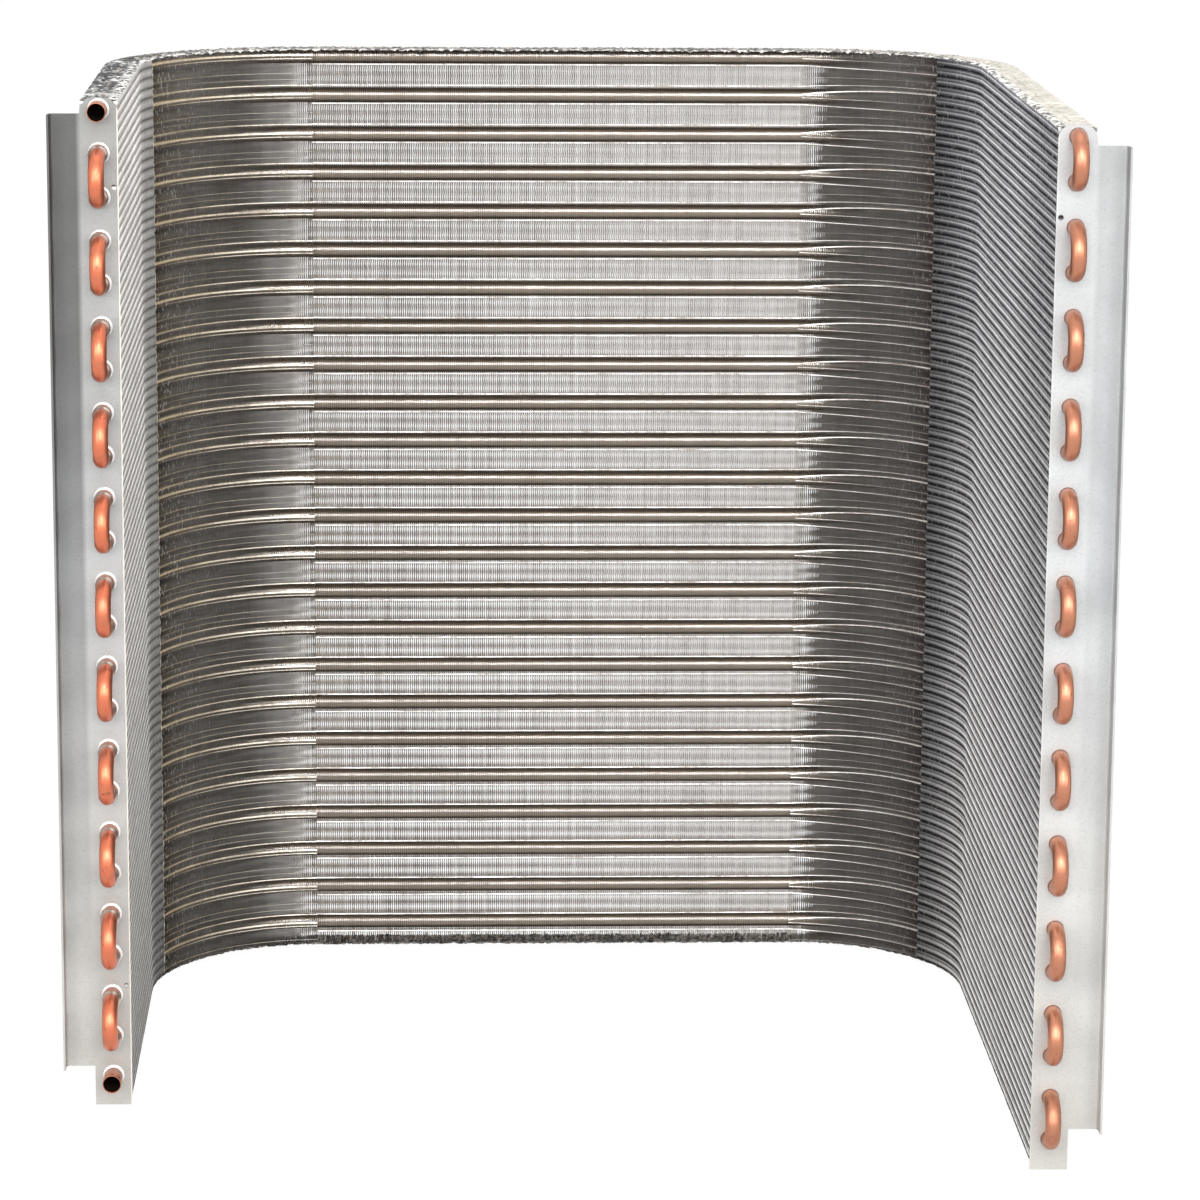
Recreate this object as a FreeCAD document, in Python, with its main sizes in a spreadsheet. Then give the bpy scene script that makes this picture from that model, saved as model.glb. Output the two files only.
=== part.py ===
import FreeCAD, Part
import math
import os
import Sketcher

# Condenser coil of an outdoor cooling unit: one row of copper tubes expanded into a stack of
# aluminium fins, folded in plan to a U with its open side to the front, and held at each end
# by a galvanised steel end plate with a folded flange.
# Frame: +Z up, the open side faces -Y, the origin is under the middle of the coil on the
# surface that it stands on. Units are millimetres.

SIZES = [
    ("tube_rows", 24),
    ("tube_pitch", 25.4),
    ("tube_diameter", 9.52),
    ("tube_bore", 8.7),
    ("left_run", 215.0),
    ("back_run", 319.0),
    ("right_run", 344.0),
    ("corner_radius", 116.0),
    ("fin_depth", 22.0),
    ("fin_above", 5.4),
    ("fin_below", 14.6),
    ("gap_pitch", 19.754),
    ("gap_width", 1.41),
    ("gap_depth", 5.3),
    ("plate_gauge", 1.2),
    ("plate_height", 609.6),
    ("plate_foot", 18.8),
    ("strip_width", 22.0),
    ("strip_corner", 8.0),
    ("flange_width", 18.4),
    ("left_flange_drop", 9.2),
    ("right_flange_drop", 11.8),
    ("flange_rise", 24.6),
    ("lip_width", 11.0),
    ("fold_radius", 2.0),
    ("hole_clearance", 0.15),
    ("screw_hole", 3.2),
    ("screw_inset", 2.6),
    ("screw_drop", 51.8),
    ("screw_rise", 75.2),
    ("neck_length", 2.5),
    ("bell_length", 9.5),
    ("open_bell_extra", 7.0),
    ("bell_diameter", 11.3),
    ("bell_taper", 1.2),
    ("socket_clearance", 0.1),
    ("socket_depth", 8.5),
    ("open_bore_depth", 45.0),
    ("end_root", 2.0),
    ("cut_over", 1.0),
    ("flange_overlap", 1.0),
    ("bend_exposed", 3.4),
    ("hairpin_exposed", 2.8),
]

# Which way an end plate's flange goes from its strip, and its small screw holes.
FLANGE_WAYS = {"left": -1, "right": 1}
SCREW_ROWS = {"left": ("high", "low"), "right": ("high",)}

doc = FreeCAD.newDocument("CondenserCoil")
sheet = doc.addObject("Spreadsheet::Sheet", "Sizes")
for index, (name, value) in enumerate(SIZES, start=1):
    sheet.set("A%d" % index, name)
    sheet.set("B%d" % index, str(value))
    sheet.setAlias("B%d" % index, name)
doc.recompute()

value = {name: float(sheet.get(name)) for name, _ in SIZES}
rows = int(value["tube_rows"])
tube_radius = value["tube_diameter"] / 2
bell_radius = value["bell_diameter"] / 2
socket_radius = tube_radius + value["socket_clearance"]
half_fin = value["fin_depth"] / 2
half_strip = value["strip_width"] / 2
bend_radius = value["tube_pitch"] / 2

# Plan of the tube centre line: up the left run, a quarter turn, along the back run, a quarter
# turn and down the right run. The left run starts at the origin and goes along +Y.
back_y = value["left_run"] + value["corner_radius"]
right_x = value["back_run"] + 2 * value["corner_radius"]
right_y = back_y - value["corner_radius"] - value["right_run"]
corner_left = (value["corner_radius"], value["left_run"])
corner_right = (value["corner_radius"] + value["back_run"], value["left_run"])

# Heights above the feet of the end plates.
low_tube = value["plate_foot"]
high_tube = low_tube + (rows - 1) * value["tube_pitch"]
fin_bottom = "Sizes.plate_foot - Sizes.fin_below"
fin_height = "(Sizes.tube_rows - 1) * Sizes.tube_pitch + Sizes.fin_above + Sizes.fin_below"
row_span = "(Sizes.tube_rows - 1) * Sizes.tube_pitch"

# How far the left tube ends stand out of the fins: the brazed ones and the two open ones.
brazed_reach = value["plate_gauge"] + value["neck_length"] + value["bell_length"]
open_reach = brazed_reach + value["open_bell_extra"]
VECTOR = FreeCAD.Vector
UP = VECTOR(0, 0, 1)
THROUGH_ALL = 1


def make_body(label):
    body = doc.addObject("PartDesign::Body", label)
    body.Label = label
    return body


def origin_feature(body, role):
    for feature in body.Origin.OriginFeatures:
        if feature.Role == role:
            return feature
    raise ValueError("no origin feature " + role)


def make_sketch(body, name, plane, base=(0, 0, 0), turn=0):
    """Sketch on an origin plane, moved by base in the sketch's own axes."""
    sketch = body.newObject("Sketcher::SketchObject", name)
    sketch.AttachmentSupport = [(origin_feature(body, plane), "")]
    sketch.MapMode = "FlatFace"
    sketch.AttachmentOffset = FreeCAD.Placement(VECTOR(*base), FreeCAD.Rotation(UP, turn))
    return sketch


def close_loop(sketch, first, count):
    for step in range(count):
        here = first + step
        following = first + (step + 1) % count
        sketch.addConstraint(Sketcher.Constraint("Coincident", here, 2, following, 1))


def add_polygon(sketch, points):
    first = sketch.GeometryCount
    for start, end in zip(points, points[1:] + points[:1]):
        sketch.addGeometry(Part.LineSegment(VECTOR(*start, 0), VECTOR(*end, 0)), False)
    close_loop(sketch, first, len(points))


def add_rectangle(sketch, low, high):
    add_polygon(sketch, [low, (high[0], low[1]), high, (low[0], high[1])])


def add_circle(sketch, centre, radius, formula):
    index = sketch.addGeometry(Part.Circle(VECTOR(*centre, 0), UP, radius), False)
    constraint = sketch.addConstraint(Sketcher.Constraint("Radius", index, radius))
    sketch.setExpression("Constraints[%d]" % constraint, formula)


def add_arc(sketch, centre, radius, start, end):
    circle = Part.Circle(VECTOR(*centre, 0), UP, radius)
    arc = Part.ArcOfCircle(circle, math.radians(start), math.radians(end))
    sketch.addGeometry(arc, False)


def add_line(sketch, start, end, construction=False):
    segment = Part.LineSegment(VECTOR(*start, 0), VECTOR(*end, 0))
    sketch.addGeometry(segment, construction)


def add_feature(body, kind, name, sketch, **settings):
    feature = body.newObject("PartDesign::" + kind, name)
    feature.Profile = sketch
    for key, setting in settings.items():
        setattr(feature, key, setting)
    return feature


def stack_rows(body, name, features, count, span):
    """Repeat features up the coil; span is the formula of the distance from first to last."""
    pattern = body.newObject("PartDesign::LinearPattern", name)
    pattern.Originals = features
    pattern.Direction = (origin_feature(body, "Z_Axis"), [""])
    pattern.Occurrences = count
    pattern.setExpression("Length", span)
    body.Tip = pattern


# The fin stack in plan: a U as thick as a fin is deep.
def add_stack_outline(sketch):
    outer = value["corner_radius"] + half_fin
    inner = value["corner_radius"] - half_fin
    left_x, left_y = corner_left
    turn_x, turn_y = corner_right
    add_line(sketch, (-half_fin, 0), (-half_fin, left_y))
    add_arc(sketch, corner_left, outer, 90, 180)
    add_line(sketch, (left_x, back_y + half_fin), (turn_x, back_y + half_fin))
    add_arc(sketch, corner_right, outer, 0, 90)
    add_line(sketch, (right_x + half_fin, turn_y), (right_x + half_fin, right_y))
    add_line(sketch, (right_x + half_fin, right_y), (right_x - half_fin, right_y))
    add_line(sketch, (right_x - half_fin, right_y), (right_x - half_fin, turn_y))
    add_arc(sketch, corner_right, inner, 0, 90)
    add_line(sketch, (turn_x, back_y - half_fin), (left_x, back_y - half_fin))
    add_arc(sketch, corner_left, inner, 90, 180)
    add_line(sketch, (half_fin, left_y), (half_fin, 0))
    add_line(sketch, (half_fin, 0), (-half_fin, 0))


def add_gap_pair(sketch, along, across):
    """One gap between fins, open at both faces of the stack, which lie along x or y."""
    half_gap = value["gap_width"] / 2
    reach = half_fin + value["cut_over"]
    floor = half_fin - value["gap_depth"]
    for low, high in ((floor, reach), (-reach, -floor)):
        if along == "x":
            add_rectangle(sketch, (across + low, -half_gap), (across + high, half_gap))
        else:
            add_rectangle(sketch, (-half_gap, across + low), (half_gap, across + high))


def cut_gap_pair(body, name, sketch):
    return add_feature(body, "Pocket", name + "_cut", sketch, Reversed=True, Type=THROUGH_ALL)


def gaps_along(body, name, start, axis, length):
    """Gaps along a straight run; axis is the origin axis that the run follows."""
    count = int(length // value["gap_pitch"])
    spare = (length - (count - 1) * value["gap_pitch"]) / 2
    if axis == "Y_Axis":
        base = (start[0], start[1] + spare, 0)
        across = "x"
    else:
        base = (start[0] + spare, start[1], 0)
        across = "y"
    sketch = make_sketch(body, name + "_gap", "XY_Plane", base)
    sketch.setExpression("AttachmentOffset.Base.z", fin_bottom)
    add_gap_pair(sketch, across, 0)
    pocket = cut_gap_pair(body, name, sketch)
    pattern = body.newObject("PartDesign::LinearPattern", name + "_gaps")
    pattern.Originals = [pocket]
    pattern.Direction = (origin_feature(body, axis), [""])
    pattern.Length = (count - 1) * value["gap_pitch"]
    pattern.Occurrences = count
    body.Tip = pattern


def gaps_round(body, name, centre, start_angle):
    """Gaps round a quarter turn, fanned about the corner's own centre."""
    count = int(math.radians(90) * value["corner_radius"] // value["gap_pitch"])
    step = 90 / count
    sketch = make_sketch(body, name + "_gap", "XY_Plane", (*centre, 0), start_angle + step / 2)
    sketch.setExpression("AttachmentOffset.Base.z", fin_bottom)
    add_gap_pair(sketch, "x", value["corner_radius"])
    pocket = cut_gap_pair(body, name, sketch)
    pattern = body.newObject("PartDesign::PolarPattern", name + "_gaps")
    pattern.Originals = [pocket]
    pattern.Axis = (sketch, ["N_Axis"])
    pattern.Angle = step * (count - 1)
    pattern.Occurrences = count
    body.Tip = pattern


# Left tube ends: each leg comes out of the fins, steps up to a bell and ends in its mouth.
def add_tube_ends(body, name, height, reach, count, span):
    """Ends from the one at height up; height and span are formulas, reach a length."""
    sketch = make_sketch(body, name + "_profile", "YZ_Plane")
    sketch.setExpression("AttachmentOffset.Base.y", height)
    root = value["end_root"]
    shoulder = -value["plate_gauge"] - value["neck_length"]
    stop = value["socket_depth"] - reach
    points = [
        (root, 0),
        (root, tube_radius),
        (shoulder, tube_radius),
        (shoulder - value["bell_taper"], bell_radius),
        (-reach, bell_radius),
        (-reach, socket_radius),
        (stop, socket_radius),
        (stop, 0),
    ]
    add_polygon(sketch, points)
    add_line(sketch, (-reach, 0), (root, 0), True)
    end = add_feature(body, "Revolution", name, sketch, Angle=360)
    end.ReferenceAxis = (sketch, ["Axis0"])
    stack_rows(body, name + "s", [end], count, span)


# The first and last tubes are open: their bores run on behind the sockets.
def open_first_and_last(body):
    depth = value["open_bore_depth"] + value["socket_depth"]
    sketch = make_sketch(body, "open_bore_circles", "XZ_Plane", (0, 0, open_reach))
    for height in (low_tube, high_tube):
        add_circle(sketch, (0, height), value["tube_bore"] / 2, "Sizes.tube_bore / 2")
    bores = add_feature(body, "Pocket", "open_bores", sketch, Length=depth)
    body.Tip = bores


# Right ends: neighbouring legs are one tube, bent round in a half turn outside the plate.
def add_hairpin_bends(body):
    stub = value["plate_gauge"] + value["hairpin_exposed"]
    heights = (low_tube, low_tube + value["tube_pitch"])
    middle = low_tube + bend_radius
    legs = make_sketch(body, "hairpin_leg_circles", "XZ_Plane", (right_x, 0, -right_y))
    for height in heights:
        add_circle(legs, (0, height), tube_radius, "Sizes.tube_diameter / 2")
    pad = add_feature(body, "Pad", "hairpin_legs", legs)
    pad.setExpression("Length", "Sizes.plate_gauge + Sizes.hairpin_exposed")
    turn = make_sketch(body, "hairpin_turn_circle", "XZ_Plane", (right_x, 0, stub - right_y))
    add_circle(turn, (0, heights[1]), tube_radius, "Sizes.tube_diameter / 2")
    add_line(turn, (-tube_radius, middle), (tube_radius, middle), True)
    bend = add_feature(body, "Revolution", "hairpin_turn", turn, Angle=180)
    bend.ReferenceAxis = (turn, ["Axis0"])
    span = "(Sizes.tube_rows - 2) * Sizes.tube_pitch"
    stack_rows(body, "hairpin_bends", [pad, bend], rows // 2, span)


def make_coil():
    body = make_body("finned_tube_coil")
    outline = make_sketch(body, "stack_outline", "XY_Plane")
    outline.setExpression("AttachmentOffset.Base.z", fin_bottom)
    add_stack_outline(outline)
    stack = add_feature(body, "Pad", "fin_stack", outline)
    stack.setExpression("Length", fin_height)
    gaps_along(body, "left_run", (0, 0), "Y_Axis", value["left_run"])
    gaps_round(body, "left_corner", corner_left, 90)
    gaps_along(body, "back_run", (corner_left[0], back_y), "X_Axis", value["back_run"])
    gaps_round(body, "right_corner", corner_right, 0)
    gaps_along(body, "right_run", (right_x, right_y), "Y_Axis", value["right_run"])
    second_row = "Sizes.plate_foot + Sizes.tube_pitch"
    inner_span = "(Sizes.tube_rows - 3) * Sizes.tube_pitch"
    add_tube_ends(body, "brazed_end", second_row, brazed_reach, rows - 2, inner_span)
    add_tube_ends(body, "open_end", "Sizes.plate_foot", open_reach, 2, row_span)
    open_first_and_last(body)
    add_hairpin_bends(body)
    return body


# An end plate is one sheet: a strip over the tube ends with rounded top corners, and a
# flange outside it that ends in a lip folded to the front.
def make_end_plate(side, base):
    """The right plate is the left one's mirror image, but for its drop and screw holes."""
    body = make_body(side + "_end_plate")
    way = FLANGE_WAYS[side]
    gauge = value["plate_gauge"]
    top = value["plate_height"]
    corner = value["strip_corner"]
    strip = make_sketch(body, "strip_outline", "XZ_Plane")
    add_line(strip, (half_strip, 0), (half_strip, top - corner))
    add_arc(strip, (half_strip - corner, top - corner), corner, 0, 90)
    add_line(strip, (half_strip - corner, top), (corner - half_strip, top))
    add_arc(strip, (corner - half_strip, top - corner), corner, 90, 180)
    add_line(strip, (-half_strip, top - corner), (-half_strip, 0))
    add_line(strip, (-half_strip, 0), (half_strip, 0))
    sheet_pad = add_feature(body, "Pad", "strip", strip)
    sheet_pad.setExpression("Length", "Sizes.plate_gauge")

    fold = make_sketch(body, "flange_profile", "XY_Plane")
    fold.setExpression("AttachmentOffset.Base.z", "Sizes.flange_rise")
    add_fold_profile(fold, way, gauge)
    flange = add_feature(body, "Pad", "flange", fold)
    drop = "Sizes.%s_flange_drop" % side
    flange.setExpression("Length", "Sizes.plate_height - Sizes.flange_rise - " + drop)

    hole_radius = tube_radius + value["hole_clearance"]
    start = gauge + value["cut_over"]
    hole = make_sketch(body, "tube_hole_circle", "XZ_Plane", (0, 0, start))
    formula = "Sizes.tube_diameter / 2 + Sizes.hole_clearance"
    add_circle(hole, (0, low_tube), hole_radius, formula)
    drilled = add_feature(body, "Pocket", "tube_hole", hole, Type=THROUGH_ALL)
    stack_rows(body, "tube_holes", [drilled], rows, row_span)

    heights = {"high": top - value["screw_drop"], "low": value["screw_rise"]}
    screw_x = -way * (half_strip - value["screw_inset"])
    screws = make_sketch(body, "screw_hole_circles", "XZ_Plane", (0, 0, start))
    for name in SCREW_ROWS[side]:
        add_circle(screws, (screw_x, heights[name]), value["screw_hole"] / 2, "Sizes.screw_hole / 2")
    body.Tip = add_feature(body, "Pocket", "screw_holes", screws, Type=THROUGH_ALL)
    body.Placement = FreeCAD.Placement(VECTOR(*base, 0), FreeCAD.Rotation())
    return body


def add_fold_profile(sketch, way, gauge):
    inner = value["fold_radius"]
    outer = inner + gauge
    reach = half_strip + value["flange_width"]
    overlap = half_strip - value["flange_overlap"]
    lip = value["lip_width"]
    centre = (way * (reach - outer), -outer)
    add_line(sketch, (way * overlap, 0), (way * (reach - outer), 0))
    if way > 0:
        add_arc(sketch, centre, outer, 0, 90)
    else:
        add_arc(sketch, centre, outer, 90, 180)
    add_line(sketch, (way * reach, -outer), (way * reach, -lip))
    add_line(sketch, (way * reach, -lip), (way * (reach - gauge), -lip))
    add_line(sketch, (way * (reach - gauge), -lip), (way * (reach - gauge), -outer))
    if way > 0:
        add_arc(sketch, centre, inner, 0, 90)
    else:
        add_arc(sketch, centre, inner, 90, 180)
    add_line(sketch, (way * (reach - outer), -gauge), (way * overlap, -gauge))
    add_line(sketch, (way * overlap, -gauge), (way * overlap, 0))


# A return bend joins two neighbouring legs at the left: its ends stand in their bells.
def make_return_bend(label, lower_row):
    body = make_body(label)
    leg = value["socket_depth"] + value["bend_exposed"]
    legs = make_sketch(body, "leg_circles", "XZ_Plane")
    for height in (-bend_radius, bend_radius):
        add_circle(legs, (0, height), tube_radius, "Sizes.tube_diameter / 2")
    pad = add_feature(body, "Pad", "legs", legs)
    pad.setExpression("Length", "Sizes.socket_depth + Sizes.bend_exposed")
    turn = make_sketch(body, "turn_circle", "XZ_Plane", (0, 0, leg))
    add_circle(turn, (0, bend_radius), tube_radius, "Sizes.tube_diameter / 2")
    add_line(turn, (-tube_radius, 0), (tube_radius, 0), True)
    bend = add_feature(body, "Revolution", "turn", turn, Angle=180)
    bend.ReferenceAxis = (turn, ["Axis0"])
    body.Tip = bend
    height = low_tube + lower_row * value["tube_pitch"] + bend_radius
    base = VECTOR(0, value["socket_depth"] - brazed_reach, height)
    body.Placement = FreeCAD.Placement(base, FreeCAD.Rotation())
    return body


bodies = [make_coil()]
bodies.append(make_end_plate("left", (0, 0)))
bodies.append(make_end_plate("right", (right_x, right_y)))
bend_count = rows // 2 - 1
for number in range(1, bend_count + 1):
    lower_row = rows - 1 - 2 * number
    bodies.append(make_return_bend("return_bend_%02d" % number, lower_row))
doc.recompute()

failed = [item.Name for item in doc.Objects if {"Invalid", "Error"} & set(item.State)]
if failed:
    raise RuntimeError("failed objects: " + ", ".join(failed))

# The origin goes under the middle of the whole coil.
overall = FreeCAD.BoundBox()
for body in bodies:
    overall.add(body.Shape.optimalBoundingBox())
shift = VECTOR(-overall.Center.x, -overall.Center.y, -overall.ZMin)
for body in bodies:
    place = body.Placement
    body.Placement = FreeCAD.Placement(place.Base + shift, place.Rotation)
doc.recompute()

os.makedirs("parts", exist_ok=True)
for body in bodies:
    shape = body.Shape
    if shape.isNull() or not shape.isValid():
        raise RuntimeError("bad shape: " + body.Label)
    if len(shape.Solids) != 1:
        raise RuntimeError("not one solid: " + body.Label)
    shape.exportStep("parts/%s.step" % body.Label)
    print(body.Label, round(shape.Volume, 1), shape.BoundBox)
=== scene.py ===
"""Dresses the condenser coil: fins, tubes, bends, braze, end plates, camera and studio."""

import math
from typing import NamedTuple, Optional

import bpy
import numpy as np
from bpy.props import FloatProperty, FloatVectorProperty, IntProperty, PointerProperty
from mathutils import Matrix, Vector


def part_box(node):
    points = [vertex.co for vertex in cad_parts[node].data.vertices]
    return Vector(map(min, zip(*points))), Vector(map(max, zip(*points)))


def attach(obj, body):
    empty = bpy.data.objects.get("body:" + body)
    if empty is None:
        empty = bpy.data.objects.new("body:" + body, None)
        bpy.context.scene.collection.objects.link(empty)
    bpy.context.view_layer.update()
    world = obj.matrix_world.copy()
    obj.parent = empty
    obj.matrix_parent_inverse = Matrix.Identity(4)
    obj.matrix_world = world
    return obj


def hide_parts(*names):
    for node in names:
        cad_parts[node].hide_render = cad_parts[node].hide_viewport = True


bl_info = {
    "name": "Condenser Coil",
    "version": (1, 0, 0),
    "blender": (4, 5, 0),
    "location": "View3D > Sidebar > Coil",
    "description": "Builds the fins, tubes, bends and end plates of a U-shaped condenser coil",
    "category": "Object",
}

MM = 0.001
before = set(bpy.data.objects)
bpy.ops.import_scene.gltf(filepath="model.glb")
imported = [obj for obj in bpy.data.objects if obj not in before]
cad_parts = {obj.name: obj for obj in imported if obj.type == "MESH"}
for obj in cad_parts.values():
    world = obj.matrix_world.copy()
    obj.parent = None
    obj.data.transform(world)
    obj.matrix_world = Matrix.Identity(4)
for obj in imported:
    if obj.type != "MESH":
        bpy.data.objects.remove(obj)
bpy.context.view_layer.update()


# Settings

class CoilSizes(bpy.types.PropertyGroup):
    """Sizes of the coil's pieces."""

    rows: IntProperty(name="Tube rows", description="Tubes, one above another", default=24, min=2)
    pitch: FloatProperty(
        name="Row pitch", description="Height from one tube to the next",
        default=25.4 * MM, unit="LENGTH", precision=5)
    tube: FloatProperty(
        name="Tube", description="Outer diameter of the tube",
        default=9.52 * MM, unit="LENGTH", precision=5)
    bore: FloatProperty(
        name="Bore", description="Inner diameter of the tube",
        default=8.7 * MM, unit="LENGTH", precision=5)
    foot: FloatProperty(
        name="Foot", description="Height of the lowest tube over the feet",
        default=18.8 * MM, unit="LENGTH", precision=5)
    above: FloatProperty(
        name="Fin above", description="Fin over the highest tube",
        default=5.4 * MM, unit="LENGTH", precision=5)
    below: FloatProperty(
        name="Fin below", description="Fin under the lowest tube",
        default=14.6 * MM, unit="LENGTH", precision=5)
    corner: FloatProperty(
        name="Corner", description="Radius of the tube line at a corner",
        default=116.0 * MM, unit="LENGTH", precision=5)
    depth: FloatProperty(
        name="Fin depth", description="Width of a fin, front to back",
        default=22.0 * MM, unit="LENGTH", precision=5)
    fin_pitch: FloatProperty(
        name="Fin pitch", description="Distance from fin to fin",
        default=1.411 * MM, unit="LENGTH", precision=6)
    ripples: IntProperty(name="Ripples", description="Ripples of a fin in one row pitch", default=4)
    ripple: FloatProperty(
        name="Ripple height", description="How far a ripple stands out to each side",
        default=0.66 * MM, unit="LENGTH", precision=6)
    bow: FloatProperty(
        name="Bow", description="How far a fin's middle stands out between its two edges",
        default=0.95 * MM, unit="LENGTH", precision=6)
    collar: FloatProperty(
        name="Collar", description="Thickness of the fin collars on a tube",
        default=0.25 * MM, unit="LENGTH", precision=6)
    gauge: FloatProperty(
        name="Plate", description="Thickness of an end plate",
        default=1.2 * MM, unit="LENGTH", precision=5)
    neck: FloatProperty(
        name="Neck", description="Plain tube between the left plate and a bell",
        default=2.5 * MM, unit="LENGTH", precision=5)
    bell: FloatProperty(
        name="Bell length", description="Length of the belled end of a tube",
        default=9.5 * MM, unit="LENGTH", precision=5)
    open_extra: FloatProperty(
        name="Open end", description="How much longer the bells of the two open ends are",
        default=7.0 * MM, unit="LENGTH", precision=5)
    bell_width: FloatProperty(
        name="Bell", description="Outer diameter of a bell",
        default=11.3 * MM, unit="LENGTH", precision=5)
    taper: FloatProperty(
        name="Taper", description="Length over which the tube widens to its bell",
        default=1.2 * MM, unit="LENGTH", precision=5)
    left_straight: FloatProperty(
        name="Return leg", description="Straight leg of a return bend outside its bell",
        default=3.4 * MM, unit="LENGTH", precision=5)
    right_straight: FloatProperty(
        name="Hairpin leg", description="Straight leg of a hairpin outside the right plate",
        default=2.8 * MM, unit="LENGTH", precision=5)


class CoilColours(bpy.types.PropertyGroup):
    """Colours of the coil's finishes."""

    foil: FloatVectorProperty(
        name="Fin foil", description="Aluminium of the fins",
        subtype="COLOR", default=(0.92, 0.91, 0.90), min=0, max=1)
    copper: FloatVectorProperty(
        name="Copper", description="Clean copper tube",
        subtype="COLOR", default=(0.54, 0.225, 0.135), min=0, max=1)
    torched: FloatVectorProperty(
        name="Torched copper", description="Copper reddened by the brazing flame",
        subtype="COLOR", default=(0.70, 0.20, 0.105), min=0, max=1)
    tarnish: FloatVectorProperty(
        name="Tarnish", description="Copper that heat and air have darkened",
        subtype="COLOR", default=(0.38, 0.17, 0.10), min=0, max=1)
    filler: FloatVectorProperty(
        name="Filler", description="Braze metal in the joints",
        subtype="COLOR", default=(0.74, 0.69, 0.63), min=0, max=1)
    zinc: FloatVectorProperty(
        name="Zinc", description="Galvanised skin of the end plates",
        subtype="COLOR", default=(0.46, 0.475, 0.48), min=0, max=1)


# Shader maths

class Wire:
    """A node socket that can be used in Python expressions."""

    def __init__(self, tree, socket):
        self.tree = tree
        self.socket = socket

    def maths(self, operation, *terms):
        node = self.tree.nodes.new("ShaderNodeMath")
        node.operation = operation
        for slot, term in zip(node.inputs, terms):
            connect(self.tree, slot, term)
        return Wire(self.tree, node.outputs[0])

    def __add__(self, other):
        return self.maths("ADD", self, other)

    def __radd__(self, other):
        return self.maths("ADD", other, self)

    def __sub__(self, other):
        return self.maths("SUBTRACT", self, other)

    def __rsub__(self, other):
        return self.maths("SUBTRACT", other, self)

    def __mul__(self, other):
        return self.maths("MULTIPLY", self, other)

    def __rmul__(self, other):
        return self.maths("MULTIPLY", other, self)

    def __truediv__(self, other):
        return self.maths("DIVIDE", self, other)

    def __rtruediv__(self, other):
        return self.maths("DIVIDE", other, self)

    def __pow__(self, other):
        return self.maths("POWER", self, other)

    def __rpow__(self, other):
        return self.maths("POWER", other, self)

    def __abs__(self):
        return self.maths("ABSOLUTE", self)

    def fraction(self):
        return self.maths("FRACT", self)

    def sine(self):
        return self.maths("SINE", self)

    def root(self):
        return self.maths("SQRT", self)

    def clamp(self):
        result = self.maths("ADD", self, 0.0)
        result.socket.node.use_clamp = True
        return result

    def rise(self, start, end):
        """0 at start and 1 at end, in a straight line between them and level beyond."""
        return ((self - start) / (end - start)).clamp()


def connect(tree, slot, term):
    """Links a Wire to a socket, or sets a plain value there."""
    if isinstance(term, Wire):
        tree.links.new(term.socket, slot)
    else:
        slot.default_value = term


class Nodes:
    """A node tree, with one method for every kind of node."""

    def __init__(self, tree):
        self.tree = tree

    def node(self, kind, output=0, settings=None, **values):
        """Adds a node; a value's key is its socket's name, or _ and its number."""
        node = self.tree.nodes.new(kind)
        for key, setting in (settings or {}).items():
            if key == "stops":
                self.set_stops(node.color_ramp, setting)
            else:
                setattr(node, key, setting)
        for key, term in values.items():
            slot = node.inputs[int(key[1:])] if key[0] == "_" else node.inputs[key]
            connect(self.tree, slot, term)
        return Wire(self.tree, node.outputs[output])

    def set_stops(self, ramp, stops):
        while len(ramp.elements) < len(stops):
            ramp.elements.new(0.5)
        for element, (place, colour) in zip(ramp.elements, stops):
            element.position = place
            element.color = (*colour, 1.0)

    def seen(self):
        """1 for what the camera sees, also in metal and through glass."""
        camera = self.node("ShaderNodeLightPath", "Is Camera Ray")
        glossy = self.node("ShaderNodeLightPath", "Is Glossy Ray")
        passed = self.node("ShaderNodeLightPath", "Is Transmission Ray")
        return (camera + glossy + passed).clamp()


class Finish(Nodes):
    """A material in the making."""

    def __init__(self, name):
        self.material = bpy.data.materials.new(name)
        self.material.use_nodes = True
        super().__init__(self.material.node_tree)
        self.shader = self.tree.nodes["Principled BSDF"]

    def noise(self, scale, detail=3.0, stretch=(1, 1, 1)):
        place = self.node("ShaderNodeTexCoord", "Object")
        mapped = self.node("ShaderNodeMapping", Vector=place, Scale=stretch)
        return self.node("ShaderNodeTexNoise", "Fac", Vector=mapped, Scale=scale, Detail=detail)

    def along(self, axis):
        place = self.node("ShaderNodeTexCoord", "Object")
        return self.node("ShaderNodeSeparateXYZ", axis, Vector=place)

    def mark(self, name):
        """A value kept at the piece's points."""
        return self.node("ShaderNodeAttribute", "Fac", {"attribute_name": name})

    def ramp(self, factor, stops):
        return self.node("ShaderNodeValToRGB", "Color", {"stops": stops}, Fac=factor)

    def blend(self, factor, first, second):
        """first where factor is 0 and second where it is 1, both colours."""
        return self.node(
            "ShaderNodeMix", 2, {"data_type": "RGBA"}, _0=factor,
            _6=as_colour(first), _7=as_colour(second))

    def tint(self, colour, factor):
        """colour multiplied by factor, both colours."""
        return self.node(
            "ShaderNodeMix", 2, {"data_type": "RGBA", "blend_type": "MULTIPLY"}, _0=1.0,
            _6=as_colour(colour), _7=as_colour(factor))

    def worn(self, factor, colour, factor_colour):
        """colour, multiplied by factor_colour as far as factor says."""
        return self.blend(factor, colour, self.tint(colour, factor_colour))

    def set(self, **values):
        for key, term in values.items():
            connect(self.tree, self.shader.inputs[key.replace("_", " ")], term)
        return self

    def bump(self, height, distance, strength):
        normal = self.node(
            "ShaderNodeBump", Height=height, Distance=distance, Strength=strength)
        return self.set(Normal=normal)


def as_colour(colour):
    """A plain colour gets its opacity; a Wire stays as it is."""
    return colour if isinstance(colour, Wire) else (*colour, 1.0)


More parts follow.
